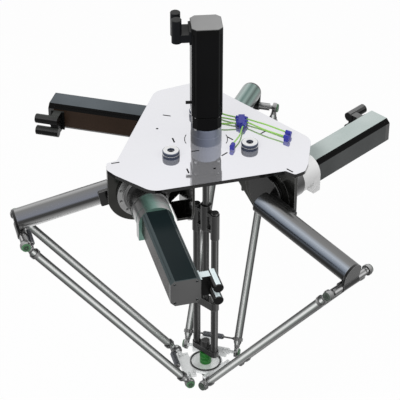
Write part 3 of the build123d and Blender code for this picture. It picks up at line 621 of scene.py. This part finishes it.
class ROBOT_OT_studio(bpy.types.Operator):
    """Set up the camera, the soft lights, the pale surroundings and the floor"""

    bl_idname = "robot.studio"
    bl_label = "Camera and studio"

    def execute(self, context):
        scene = context.scene
        settings = scene.robot_studio
        place_camera(scene)
        light_world(scene, settings.ambient)
        low, high = CAD_BOX
        middle = (low + high) / 2
        soft_lamp("key_lamp", KEY_PLACE, middle, settings.key_power, settings.lamp_size)
        soft_lamp("fill_lamp", FILL_PLACE, middle, settings.fill_power, settings.lamp_size)
        floor(settings, low.z - settings.floor_drop)
        return {"FINISHED"}


class RobotFinishes(bpy.types.PropertyGroup):
    """Colours of the plate and of the painted and plastic pieces"""

    plate: FloatVectorProperty(
        name="Base plate", description="Mirror-polished plate", default=tone(236, 236, 242),
        subtype="COLOR",
    )
    cap_green: FloatVectorProperty(
        name="Ball caps", description="Green caps of the ball sockets", default=tone(40, 90, 50),
        subtype="COLOR",
    )
    joint_green: FloatVectorProperty(
        name="Rotary joint", description="Green rotary joint", default=tone(20, 110, 30),
        subtype="COLOR",
    )
    fitting_blue: FloatVectorProperty(
        name="Air fittings", description="Blue push-in fittings", default=tone(40, 44, 150),
        subtype="COLOR",
    )
    tube_green: FloatVectorProperty(
        name="Air tubes", description="Light green air tubes", default=tone(150, 205, 96),
        subtype="COLOR",
    )


# Base plate

# Circle of the hanging pads, in metres, and their turn from the arms
PAD_CIRCLE = 0.143
PAD_TURN = math.radians(25.7)

# Hanging pad, in millimetres: wide foot, groove, countersunk top
PAD_PROFILE = [
    (8.75, -21), (27, -21), (27, -11), (25.6, -10.4), (25.6, -8.6), (26.5, -8), (26.5, -2.4),
    (25.8, -1), (24.2, 0), (11.5, 0), (10.2, -1.2), (10.2, -7), (8.75, -7),
]


def mirror_steel(colour):
    """Mirror-polished steel of the plate's top, with painted shade where it faces sideways or down.
    """
    finish = Finish("mirror_plate", metallic=0.8, roughness=0.05)
    tree = finish.tree
    # Painted shade where the plate faces sideways or down
    side = maths(tree, "LESS_THAN", finish.facing_up(), 0.5)
    face = mixed(tree, finish.clouds(2.0), tone(228, 228, 230), colour)
    finish.colour(mixed(tree, side, face, tone(40)))
    finish.grain(scale=500.0, amount=0.02, bump=0.01)
    return finish.material


class ROBOT_OT_base_plate(bpy.types.Operator):
    """Polish the base plate and turn its hanging pads"""

    bl_idname = "robot.base_plate"
    bl_label = "Base plate"

    def execute(self, context):
        dress(mirror_steel(context.scene.robot_finishes.plate), "base_plate")
        # Painted reflections: white on the pads' tops, lighter on their bevels than on their sides
        faces = tone(60), tone(70, 76, 92), tone(120, 126, 140), tone(232)
        steel = painted_face_tones("turned_pads", *faces, metallic=0.5)
        dress(steel, "standoffs")
        pads = []
        for arm in ARMS:
            place = Matrix.Rotation(PAD_TURN, 3, "Z") @ arm.outward * PAD_CIRCLE
            pads.append(lathe(PAD_PROFILE, place, UP, steps=48, hollow=True))
        made = piece("hanging_pads", "root", "turned_steel", steel, *pads)
        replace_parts(made, "standoffs")
        return {"FINISHED"}


# Arm drives

# Painted reflections: tones of the motors' bottom, sides, bevels and top, different for each arm, and
# of their plugs' tops
PAINTED_MOTOR_FACES = {
    "a": (tone(8), tone(20, 15, 12), tone(66, 76, 78), tone(26, 36, 38)),
    "b": (tone(8), tone(74, 76, 76), tone(10), tone(196, 204, 202)),
    "c": (tone(8), tone(50, 38, 30), tone(12), tone(98, 105, 110)),
}
PAINTED_PLUG_TOPS = {"a": tone(226, 236, 238), "b": tone(120), "c": tone(70, 72, 70)}
# Painted reflections in bands round the motor adapters, different for each arm, and round the
# gearboxes
ADAPTER_REFLECTIONS = {
    "a": tones((240,), (236,), (160, 196, 186), (96, 128, 118), (60,), (80,), (150,)),
    "b": greys(250, 250, 244, 226, 200, 170),
    "c": greys(170, 140, 90, 70, 90, 150),
}
GEARBOX_REFLECTIONS = greys(190, 215, 160, 100, 70, 120)

# Rear face of a motor's cap along the motor's axis, in metres, and its four screws, in millimetres
MOTOR_REAR = 0.585
CAP_SCREW_HALF = 33
CAP_SCREW_PROFILE = [(3.6, -1), (3.6, 0.5), (3.1, 0.9), (2, 0.9), (1.8, 0.2)]

# A bracket's places, in metres: the base plate's top; on the motor's side, the inner face of the
# side plate and the start of the lip; outward, the inner face of the rib
PLATE_TOP = -0.021
SIDE_PLATE_FACE = 0.05
LIP_START = 0.066
RIB_FACE = 0.096

# A bracket's plates, in millimetres; the outlines run as distance outward, or on the motor's side
# for the rib, and height below the base plate's top
SIDE_PLATE_THICKNESS = 12
RIB_THICKNESS = 8
LIP_LENGTH = 95
GEARBOX_BORE = 62
SIDE_OUTLINE = [
    (37, -12), (37, -84), (172, -214), *arc((251, -220), (311, -184), (331, -140)), (331, -12),
]
RIB_OUTLINE = [
    (-33, -12), (-33, -88), (62, -88), (62, -178), *arc((161, -178), (205, -145), (224, -88)),
    (224, -12),
]
LIP_OUTLINE = [(96, -170), (136, -170), (136, -178), (96, -178)]
LAND_PROFILE = [(GEARBOX_BORE, -1.5), (92, -1.5), (92, 0), (GEARBOX_BORE, 0)]


def make_bracket(arm, steel):
    """Side plate with its bore, cross rib, bottom lip and ring land of one drive."""
    top = UP * PLATE_TOP
    face = arm.sideways * SIDE_PLATE_FACE
    hub = (arm.shoulder - top) * 1000
    bore = circle(hub.dot(arm.outward), hub.z, GEARBOX_BORE)
    side = flat(SIDE_OUTLINE, -SIDE_PLATE_THICKNESS, top + face, arm.outward, UP, hole=bore)
    rib = flat(RIB_OUTLINE, RIB_THICKNESS, top + arm.outward * RIB_FACE, arm.sideways, UP)
    lip = flat(LIP_OUTLINE, -LIP_LENGTH, top + arm.sideways * LIP_START, arm.outward, UP)
    land = lathe(LAND_PROFILE, arm.shoulder + face, arm.sideways, steps=64, hollow=True)
    name = f"bracket_plates_{arm.letter}"
    made = piece(name, "root", "polished_bracket", steel, side, rib, lip, land)
    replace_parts(made, f"bracket_{arm.letter}")


def make_cap_screws(arm, metal):
    """Four screws in the rear face of an arm motor's cap."""
    screws = []
    for outward in (-CAP_SCREW_HALF, CAP_SCREW_HALF):
        for height in (-CAP_SCREW_HALF, CAP_SCREW_HALF):
            spot = arm.shoulder + (arm.outward * outward + UP * height) / 1000
            spot += arm.sideways * MOTOR_REAR
            screws.append(lathe(CAP_SCREW_PROFILE, spot, arm.sideways, steps=20))
    piece(f"motor_cap_screws_{arm.letter}", "root", "dark_steel", metal, *screws)


class ROBOT_OT_drives(bpy.types.Operator):
    """Finish the brackets, gearboxes, adapters and motors of the three arms"""

    bl_idname = "robot.drives"
    bl_label = "Arm drives"

    def execute(self, context):
        for arm in ARMS:
            letter = arm.letter
            across = across_of(arm.sideways)
            # Dark polished steel with painted highlights along its edges
            steel = machined(
                f"bracket_steel_{letter}", tone(44, 44, 42), roughness=0.12, edge=tone(150),
                variation=0.6,
            )
            make_bracket(arm, steel)
            dress(steel, f"bracket_{letter}")
            # Gearboxes with painted reflections and painted highlights along their edges
            gearbox = painted_reflection_metal(f"gearbox_steel_{letter}", across, GEARBOX_REFLECTIONS, edge=tone(210))
            dress(gearbox, f"gearbox_{letter}")
            adapter = painted_reflection_metal(f"adapter_{letter}", across, ADAPTER_REFLECTIONS[letter], metallic=0.35)
            dress(adapter, f"motor_adapter_{letter}")
            bottom, side, bevel, top = PAINTED_MOTOR_FACES[letter]
            dress(painted_face_tones(f"motor_paint_{letter}", bottom, side, bevel, top), f"motor_{letter}")
            # The caps, plugs and cap screws take painted reflections like the motors
            cap = painted_face_tones(f"motor_cap_paint_{letter}", bottom, tone(90), bevel, top)
            dress(cap, f"motor_cap_{letter}")
            faces = tone(10), tone(24), tone(70), PAINTED_PLUG_TOPS[letter]
            plug = painted_face_tones(f"plug_metal_{letter}", *faces, metallic=0.2)
            dress(plug, f"motor_plugs_{letter}")
            make_cap_screws(arm, plug)
        return {"FINISHED"}


# Wrist drive

# Painted reflections in bands across the wrist gearbox
WRIST_REFLECTIONS = tones((124, 128, 140), (116, 122, 136), (98, 104, 120), (76, 80, 92), (50,))

# Turn of the wrist flange, and its lower and upper bolts, in millimetres
FLANGE_TURN = math.radians(5)
FLANGE_BOLT_HALF = 35
LOWER_BOLT_PROFILE = [(5, 37), (5, 43)]
UPPER_BOLT_PROFILE = [(4, 80), (4, 88)]


def make_flange_bolts():
    """Hexagon bolts at the foot of the wrist flange and round ones higher up."""
    turn = Matrix.Rotation(FLANGE_TURN, 3, "Z")
    bolts = []
    for x in (-FLANGE_BOLT_HALF, FLANGE_BOLT_HALF):
        for y in (-FLANGE_BOLT_HALF, FLANGE_BOLT_HALF):
            spot = turn @ Vector((x, y, 0)) / 1000
            bolts.append(lathe(LOWER_BOLT_PROFILE, spot, UP, steps=6))
            bolts.append(lathe(UPPER_BOLT_PROFILE, spot, UP, steps=20))
    bright = machined("bolt_steel", tone(150), metallic=0.9)
    piece("flange_bolts", "root", "bright_steel", bright, *bolts)


class ROBOT_OT_wrist_drive(bpy.types.Operator):
    """Finish the wrist gearbox, its flange and the wrist motor"""

    bl_idname = "robot.wrist_drive"
    bl_label = "Wrist drive"

    def execute(self, context):
        # Painted reflections: the wrist motor, flange, cap and plugs are lighter on their bevels and
        # tops
        black = painted_face_tones("wrist_paint", tone(8), tone(9, 9, 10), tone(50), tone(40))
        dress(black, "wrist_motor", "wrist_flange")
        dress(painted_face_tones("wrist_cap_metal", tone(8), tone(9), tone(90), tone(160)), "wrist_motor_cap")
        plugs = painted_face_tones("wrist_plug_metal", tone(8), tone(20, 21, 24), tone(60), tone(60))
        dress(plugs, "wrist_motor_plugs")
        grey = painted_reflection_metal("wrist_gearbox_metal", (1, 0, 0), WRIST_REFLECTIONS, metallic=0.3, roughness=0.4)
        dress(grey, "wrist_gearbox")
        make_flange_bolts()
        return {"FINISHED"}


# Upper arms

# Reflections round the tubes, from the edge that faces up to the one that faces down: a has a
# light and a dark stripe beside a blue-grey middle, b one wide light stripe, c narrow green ones
TUBE_BANDS = {
    "a": [
        (0.0, tone(70)), (0.1, tone(170)), (0.22, tone(120)), (0.57, tone(115, 118, 128)),
        (0.65, tone(60)), (0.74, tone(60)), (0.9, tone(150)), (1.0, tone(210)),
    ],
    "b": [
        (0.0, tone(60)), (0.1, tone(110)), (0.32, tone(125)), (0.48, tone(165, 172, 182)),
        (0.65, tone(115, 123, 135)), (0.84, tone(40)), (0.93, tone(22)), (1.0, tone(60)),
    ],
    "c": tones(
        (60, 84, 80), (150, 170, 165), (70, 104, 98), (128, 150, 144), (44, 70, 64),
        (100, 128, 120), (40, 52, 50), (80, 90, 88),
    ),
}
# Painted reflections in bands across the elbow plates, hubs and cross shafts; the plates and hubs
# also get painted highlights along their edges
ELBOW_PLATE_REFLECTIONS = greys(90, 60, 40, 30, 70)
CROSS_SHAFT_REFLECTIONS = greys(60, 190, 120, 200, 90, 40)


class ROBOT_OT_upper_arms(bpy.types.Operator):
    """Finish the tubes, their hubs, the elbow plates and the cross shafts"""

    bl_idname = "robot.upper_arms"
    bl_label = "Upper arms"

    def execute(self, context):
        for arm in ARMS:
            letter = arm.letter
            across = across_of(arm.elbow - arm.shoulder)
            tube = painted_reflection_metal(f"arm_tube_{letter}", across, TUBE_BANDS[letter])
            dress(tube, f"upper_arm_tube_{letter}")
            plate = painted_reflection_metal(f"elbow_plate_{letter}", across, ELBOW_PLATE_REFLECTIONS, edge=tone(170))
            dress(plate, f"elbow_end_plate_{letter}", f"arm_hub_{letter}")
            shaft = painted_reflection_metal(f"cross_shaft_{letter}", across_of(arm.sideways), CROSS_SHAFT_REFLECTIONS)
            dress(shaft, f"elbow_cross_shaft_{letter}")
        return {"FINISHED"}


# Forearms

# Painted reflections in bands along the rods and spring units, and on the socket shells, lighter at
# the top and darker towards the bottom
ROD_REFLECTIONS = tones(
    (40,), (80,), (150, 154, 152), (225,), (214, 216, 214), (120, 128, 124), (96,), (48,), (36,)
)
SOCKET_REFLECTIONS = greys(170, 120, 80, 50, 70)
SPRING_REFLECTIONS = greys(70, 160, 110, 60, 40)

# Caps of arm b get painted shade, dark instead of green; the others take the green of the settings
CAP_SHADES = {"b": tone(30, 34, 32)}
# Rims of the caps, grey with painted shade on arm b
RIM_SHADES = {"a": tone(70, 116, 80), "b": tone(60), "c": tone(70, 116, 80)}

# In metres: rods from ball to ball, their distance from the arm's middle plane, the circle of the
# lower balls, and the spring units' distance from the balls
ROD_SPAN = 0.856
ROD_SIDE = 0.088
FOOT_CIRCLE = 0.079
SPRING_STATION = 0.045

# In millimetres: a rod from its upper ball on, and a cap's button and rim from the middle between
# two balls on
ROD_PROFILE = [(8.6, 21), (9.2, 24), (13.5, 34), (13.5, 822), (9.2, 832), (8.6, 835)]
BUTTON_PROFILE = [(7.6, 96), (7.6, 100.9), (6.8, 101.3), (3.4, 101.3), (3, 100.7)]
RIM_PROFILE = [(11.1, 97), (13.6, 97), (13.6, 100.9), (13.2, 101.2), (11.5, 101.2), (11.1, 100.9)]


def coil_profile():
    """Rippled sleeve of a close-wound spring, in millimetres."""
    pitch, half, bore, root, crest = 3.2, 33.6, 3.9, 7.9, 10.0
    turns = round(2 * half / pitch)
    profile = [(bore, -half)]
    for index in range(turns):
        base = -half + index * pitch
        profile += [
            (root, base), (crest - 0.5, base + 0.2 * pitch), (crest, base + 0.5 * pitch),
            (crest - 0.5, base + 0.8 * pitch),
        ]
    return [*profile, (root, half), (bore, half)]


def lower_balls(arm):
    """Middle between an arm's two lower balls."""
    foot = arm.outward * FOOT_CIRCLE
    foot.z = arm.elbow.z - math.sqrt(ROD_SPAN**2 - (arm.elbow - foot).xy.length_squared)
    return foot


def make_rods(arm, along):
    """Two ground rods with necked ends, their bands drawn along the slope of the frame's rods."""
    node = f"forearm_rods_{arm.letter}"
    slope = arm.outward * FOOT_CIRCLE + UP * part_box(node)[0][2] - arm.elbow
    steel = painted_reflection_metal(
        f"rod_{arm.letter}", across_of(slope), ROD_REFLECTIONS, metallic=0.6, roughness=0.3, waver=0.0,
        grain=0.0,
    )
    dress(steel, node)
    starts = [arm.elbow + arm.sideways * side * ROD_SIDE for side in (-1, 1)]
    forms = [lathe(ROD_PROFILE, start, along) for start in starts]
    made = piece(f"rods_{arm.letter}", f"forearm_{arm.letter}", "ground_steel", steel, *forms)
    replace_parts(made, node)


def make_caps(arm, foot, green):
    """Caps of the four ball sockets, with a button and a rim on each."""
    letter = arm.letter
    body = f"forearm_{letter}"
    buttons, rims = [], []
    for end in (arm.elbow, foot):
        for side in (-1, 1):
            buttons.append(lathe(BUTTON_PROFILE, end, arm.sideways * side))
            rims.append(lathe(RIM_PROFILE, end, arm.sideways * side, hollow=True))
    dark = machined(f"cap_centre_{letter}", tone(24, 40, 28), metallic=0.2)
    light = machined(f"cap_rim_{letter}", RIM_SHADES[letter], metallic=0.3)
    piece(f"cap_centres_{letter}", body, "cap_green", dark, *buttons)
    piece(f"cap_rims_{letter}", body, "cap_green", light, *rims)
    shade = CAP_SHADES.get(letter, green)
    # Painted highlights along the caps' edges
    cap = machined(f"cap_{letter}", shade, metallic=0.2, edge=tone(120, 150, 125))
    dress(cap, f"socket_caps_{letter}")


def make_springs(arm, along):
    """Close-wound coils over the spring units near both ends of the rods."""
    letter = arm.letter
    coils = []
    for station in (SPRING_STATION, ROD_SPAN - SPRING_STATION):
        coils.append(lathe(coil_profile(), arm.elbow + along * station, arm.sideways))
    wire = machined(f"coil_wire_{letter}", tone(110, 112, 116), metallic=0.8)
    piece(f"spring_coils_{letter}", f"forearm_{letter}", "dark_steel", wire, *coils)
    spring = painted_reflection_metal(f"spring_{letter}", across_of(arm.sideways), SPRING_REFLECTIONS)
    dress(spring, f"rod_springs_{letter}")


class ROBOT_OT_forearms(bpy.types.Operator):
    """Finish the rods, ball sockets, caps and spring units"""

    bl_idname = "robot.forearms"
    bl_label = "Forearms"

    def execute(self, context):
        for arm in ARMS:
            foot = lower_balls(arm)
            along = (foot - arm.elbow).normalized()
            make_rods(arm, along)
            make_caps(arm, foot, tuple(context.scene.robot_finishes.cap_green))
            make_springs(arm, along)
            # Socket shells with painted reflections and painted highlights along their edges
            shell = painted_reflection_metal(f"socket_{arm.letter}", UP, SOCKET_REFLECTIONS, edge=tone(190))
            dress(shell, f"socket_shells_{arm.letter}")
        return {"FINISHED"}


# Telescopic shaft

# Painted reflections in bands round the guide rods, the shaft and the guide bodies; the bodies also
# get painted highlights along their edges
GUIDE_ROD_REFLECTIONS = greys(30, 44, 120, 60, 34, 28, 60, 30)
GUIDE_BODY_REFLECTIONS = greys(30, 90, 60, 40, 30, 46)

# Circle of the guide rods, in metres, their turn, and their section, in millimetres
GUIDE_CIRCLE = 0.040
GUIDE_TURN = math.radians(-43)
GUIDE_RADIUS = 12.4
GUIDE_TIP_RADIUS = 11
GUIDE_TIP_LENGTH = 1.5


def make_guide_bars(steel):
    """Two guide rods as long as those of the frame, with chamfered upper ends."""
    low, high = (corner[2] * 1000 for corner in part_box("guide_rods"))
    profile = [
        (GUIDE_RADIUS, low), (GUIDE_RADIUS, high - GUIDE_TIP_LENGTH), (GUIDE_TIP_RADIUS, high),
    ]
    turn = Matrix.Rotation(GUIDE_TURN, 3, "Z")
    spots = [turn @ Vector((GUIDE_CIRCLE * side, 0, 0)) for side in (-1, 1)]
    bars = [lathe(profile, spot, UP) for spot in spots]
    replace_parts(piece("guide_bars", "tool", "dark_rod", steel, *bars), "guide_rods")


class ROBOT_OT_tool_shaft(bpy.types.Operator):
    """Finish the telescopic shaft, its guides and the yoke"""

    bl_idname = "robot.tool_shaft"
    bl_label = "Telescopic shaft"

    def execute(self, context):
        steel = painted_reflection_metal(
            "guide_rod_steel", (1, 0, 0), GUIDE_ROD_REFLECTIONS, metallic=0.5, waver=0.0, grain=0.0
        )
        dress(steel, "wrist_shaft", "guide_rods")
        make_guide_bars(steel)
        body = painted_reflection_metal("guide_body_steel", (1, 0, 0), GUIDE_BODY_REFLECTIONS, metallic=0.5, edge=tone(150))
        dress(body, "shaft_collar", "sliding_bracket", "tool_yoke")
        return {"FINISHED"}


# Platform


class ROBOT_OT_platform(bpy.types.Operator):
    """Finish the tool platform, its ring and the rotary joint"""

    bl_idname = "robot.platform"
    bl_label = "Platform"

    def execute(self, context):
        pale = tone(226, 228, 228)
        # Pale metal with painted highlights along its edges
        plate = machined("platform_metal", pale, metallic=0.3, roughness=0.25, edge=tone(240))
        dress(plate, "platform_plate")
        dress(machined("ring_dark", tone(45), metallic=0.1, roughness=0.5), "tool_ring")
        green = tuple(context.scene.robot_finishes.joint_green)
        # Green with painted highlights along its edges
        joint = machined("rotary_green", green, metallic=0.3, edge=tone(120, 170, 120))
        dress(joint, "rotary_joint")
        return {"FINISHED"}


# Air lines

# In millimetres: height and radius of the tubes, and their start, end and sideways bow in plan
AIR_LEVEL = -9
AIR_TUBE_RADIUS = 2.4
AIR_RUNS = (
    ((130, 98), (250, 22), 3),
    ((130, 78), (244, -4), -4),
    ((96, 107), (30, 146), 4),
    ((96, 90), (22, 110), -3),
    ((96, 73), (26, 74), 3),
    ((116, 55), (84, -46), 5),
)


class ROBOT_OT_air_lines(bpy.types.Operator):
    """Finish the air manifold, fittings and tubes"""

    bl_idname = "robot.air_lines"
    bl_label = "Air lines"

    def execute(self, context):
        finishes = context.scene.robot_finishes
        blue = tuple(finishes.fitting_blue)
        dress(machined("fitting_plastic", blue, metallic=0.0, roughness=0.35), "air_manifold")
        plastic = machined("tube_plastic", tuple(finishes.tube_green), metallic=0.0)
        dress(plastic, "air_tubes")
        runs = []
        for start, end, bow in AIR_RUNS:
            first, last = (Vector((*place, AIR_LEVEL)) / 1000 for place in (start, end))
            runs.append(hose(first, last, bow / 1000, AIR_TUBE_RADIUS / 1000))
        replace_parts(piece("thin_air_tubes", "root", "tube_green", plastic, *runs), "air_tubes")
        return {"FINISHED"}


# The add-on

STEPS = (
    ROBOT_OT_studio,
    ROBOT_OT_base_plate,
    ROBOT_OT_drives,
    ROBOT_OT_wrist_drive,
    ROBOT_OT_upper_arms,
    ROBOT_OT_forearms,
    ROBOT_OT_tool_shaft,
    ROBOT_OT_platform,
    ROBOT_OT_air_lines,
)
SETTINGS = {"robot_camera": RobotCamera, "robot_studio": RobotStudio, "robot_finishes": RobotFinishes}


class ROBOT_PT_panel(bpy.types.Panel):
    """Lists the steps that dress the robot"""

    bl_idname = "ROBOT_PT_panel"
    bl_label = "Delta robot"
    bl_space_type = "VIEW_3D"
    bl_region_type = "UI"
    bl_category = "Delta robot"

    def draw(self, context):
        column = self.layout.column()
        for step in STEPS:
            column.operator(step.bl_idname)


def register():
    """Add the settings, the steps and the panel."""
    for kind in (*SETTINGS.values(), *STEPS, ROBOT_PT_panel):
        bpy.utils.register_class(kind)
    for name, kind in SETTINGS.items():
        setattr(bpy.types.Scene, name, PointerProperty(type=kind))


def unregister():
    """Remove what register added."""
    for name in SETTINGS:
        delattr(bpy.types.Scene, name)
    for kind in (ROBOT_PT_panel, *reversed(STEPS), *SETTINGS.values()):
        bpy.utils.unregister_class(kind)


def main():
    """Dress the robot step by step."""
    register()
    for step in STEPS:
        area, name = step.bl_idname.split(".")
        getattr(getattr(bpy.ops, area), name)()


if __name__ == "__main__":
    main()
